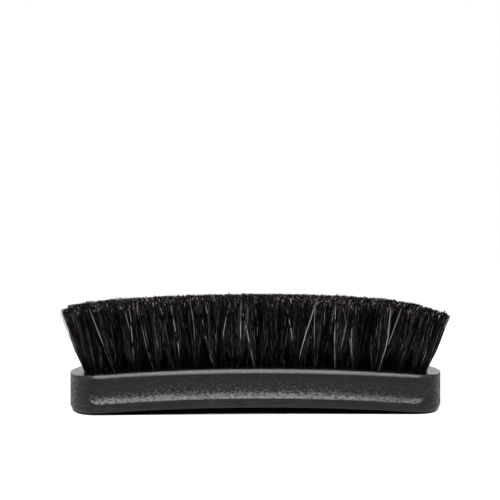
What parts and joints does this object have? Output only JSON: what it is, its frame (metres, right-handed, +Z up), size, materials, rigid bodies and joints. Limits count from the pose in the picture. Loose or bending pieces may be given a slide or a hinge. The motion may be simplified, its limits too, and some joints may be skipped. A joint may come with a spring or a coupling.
{
  "type": "shoe shine brush",
  "caption": "Hand brush with an arched black wooden block, finger grooves along its long sides and rows of dark hair tufts that fan out at the ends.",
  "frame": {"origin": "middle of the block's footprint, on the surface that the two feet of the back rest on", "axes": "+X along the block, +Y across it, +Z up, from the back towards the bristle tips"},
  "size_m": [0.1744, 0.0562, 0.0498],
  "materials": {
    "block_wood": "satin black lacquer",
    "hair": "dark natural hair",
    "anchor_wire": "drawn flat wire"
  },
  "bodies": {
    "root": {"handle_block": "block_wood", "tuft_column_01": "hair", "tuft_column_02": "hair", "tuft_column_03": "hair", "tuft_column_04": "hair", "tuft_column_05": "hair", "tuft_column_06": "hair", "tuft_column_07": "hair", "tuft_column_08": "hair", "tuft_column_09": "hair", "tuft_column_10": "hair", "tuft_column_11": "hair", "tuft_column_12": "hair", "tuft_column_13": "hair", "tuft_column_14": "hair", "tuft_column_15": "hair", "tuft_column_16": "hair", "tuft_column_17": "hair", "tuft_column_18": "hair", "tuft_column_19": "hair", "tuft_column_20": "hair", "tuft_column_21": "hair", "tuft_column_22": "hair", "tuft_column_23": "hair", "tuft_column_24": "hair", "tuft_column_25": "hair", "tuft_column_26": "hair", "tuft_column_27": "hair", "tuft_column_28": "hair", "tuft_column_29": "hair", "tuft_column_30": "hair", "tuft_column_31": "hair", "tuft_column_32": "hair", "tuft_column_33": "hair", "tuft_column_34": "hair", "tuft_column_35": "hair", "anchor_row_1": "anchor_wire", "anchor_row_2": "anchor_wire", "anchor_row_3": "anchor_wire", "anchor_row_4": "anchor_wire", "anchor_row_5": "anchor_wire"}
  },
  "joints": []
}
